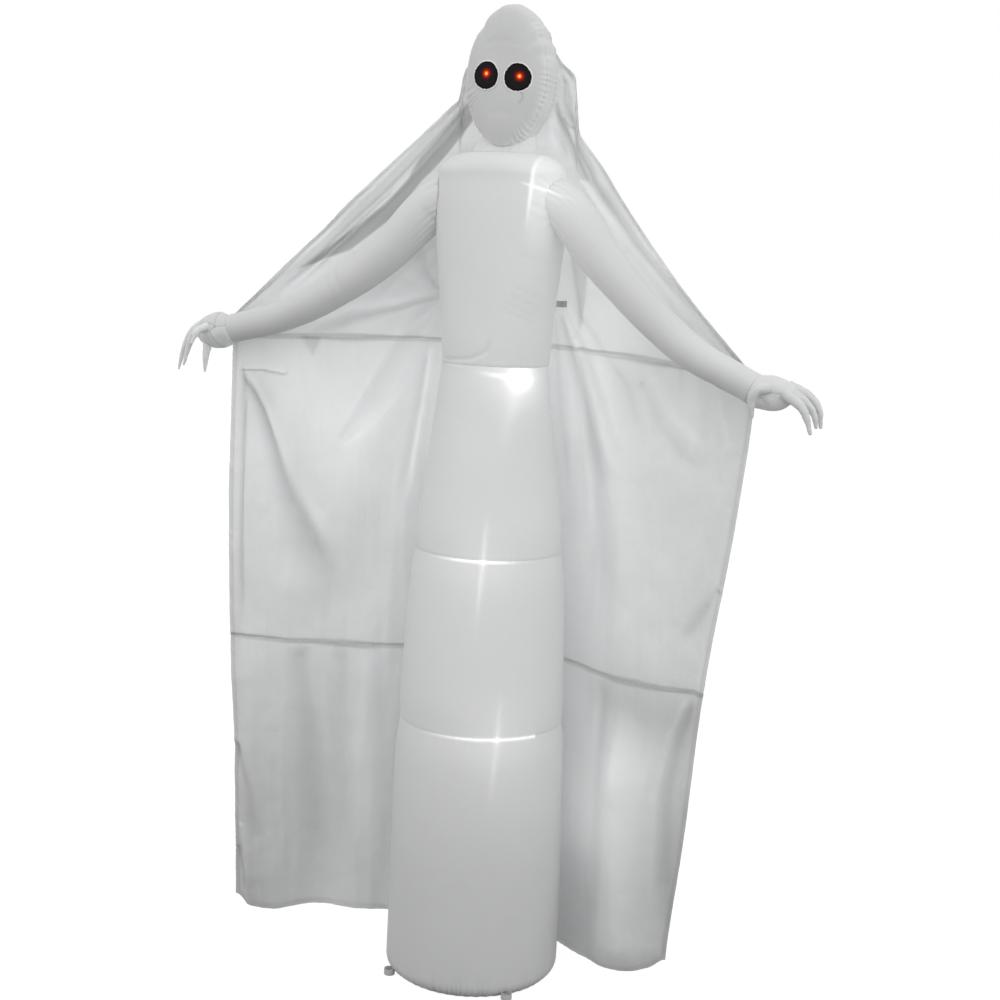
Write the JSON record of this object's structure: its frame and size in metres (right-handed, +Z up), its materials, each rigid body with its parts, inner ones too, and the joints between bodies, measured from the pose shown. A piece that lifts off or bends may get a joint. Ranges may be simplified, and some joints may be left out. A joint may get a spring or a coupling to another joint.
{
  "type": "inflatable ghost decoration",
  "caption": "Tall inflatable lawn ghost: blower-filled column with head, arms and lit eyes, and a fabric cape hung from head, torso and wrists.",
  "frame": {"origin": "centre of the column's base panel, on the surface it stands on", "axes": "+Z up, the ghost faces -Y, +X towards the viewer's right"},
  "size_m": [2.5477, 0.7718, 3.6611],
  "materials": {
    "white_cloth": "thin coated woven polyester, slight sheen",
    "cape_cloth": "thin uncoated woven polyester, soft",
    "black_cloth": "matte woven",
    "webbing": "ribbed tape",
    "sand_cloth": "coarse woven",
    "red_lens": "clear tinted",
    "clear_lens": "frosted",
    "black_plastic": "moulded",
    "grey_plastic": "moulded",
    "white_cord": "smooth jacket",
    "steel": "plated"
  },
  "bodies": {
    "ghost": {"base_panel": "white_cloth", "skirt_low": "white_cloth", "skirt_mid": "white_cloth", "skirt_high": "white_cloth", "torso": "white_cloth", "neck": "white_cloth", "face_panel": "white_cloth", "head_gusset": "white_cloth", "head_back": "white_cloth", "sleeve_left": "white_cloth", "sleeve_right": "white_cloth", "palm_left": "white_cloth", "palm_right": "white_cloth", "finger_front_left": "white_cloth", "finger_middle_left": "white_cloth", "finger_back_left": "white_cloth", "thumb_left": "white_cloth", "finger_front_right": "white_cloth", "finger_middle_right": "white_cloth", "finger_back_right": "white_cloth", "thumb_right": "white_cloth", "cape_upper": "cape_cloth", "cape_middle": "cape_cloth", "cape_lower": "cape_cloth", "eye_disc_left": "black_cloth", "eye_disc_right": "black_cloth", "eye_led_left": "red_lens", "eye_led_right": "red_lens", "eye_led_holder_left": "black_plastic", "eye_led_holder_right": "black_plastic", "torso_tie_left": "webbing", "torso_tie_right": "webbing", "wrist_tie_left": "webbing", "wrist_tie_right": "webbing", "stake_loop_1": "webbing", "stake_loop_2": "webbing", "stake_loop_3": "webbing", "stake_loop_4": "webbing", "weight_bag": "sand_cloth", "blower_duct": "black_plastic", "clamp_ring": "grey_plastic", "flange_screw_1": "steel", "flange_screw_2": "steel", "flange_screw_3": "steel", "flange_screw_4": "steel", "motor": "steel", "intake_guard": "black_plastic", "power_socket": "black_plastic", "light_cord": "white_cord", "lamp_1": "clear_lens", "lamp_2": "clear_lens", "lamp_3": "clear_lens", "lamp_4": "clear_lens", "zip_tape_left": "webbing", "zip_tape_right": "webbing"},
    "impeller": {"impeller_shaft": "steel", "impeller": "grey_plastic"},
    "zip_slider": {"zip_slider": "steel"},
    "zip_pull": {"zip_pull": "steel"}
  },
  "joints": [
    {"name": "impeller_spin", "type": "hinge", "parent": "ghost", "child": "impeller", "pos_m": [0, 0.3095, 0.235], "axis": [0, 1, 0], "continuous": true},
    {"name": "zip_travel", "type": "slide", "parent": "ghost", "child": "zip_slider", "axis": [0, 0.0196, -0.9998], "range_m": [0, 0.372]},
    {"name": "zip_pull_swing", "type": "hinge", "parent": "zip_slider", "child": "zip_pull", "pos_m": [0, 0.33562, 0.86621], "axis": [1, 0, 0], "range_deg": [-10, 160]}
  ]
}
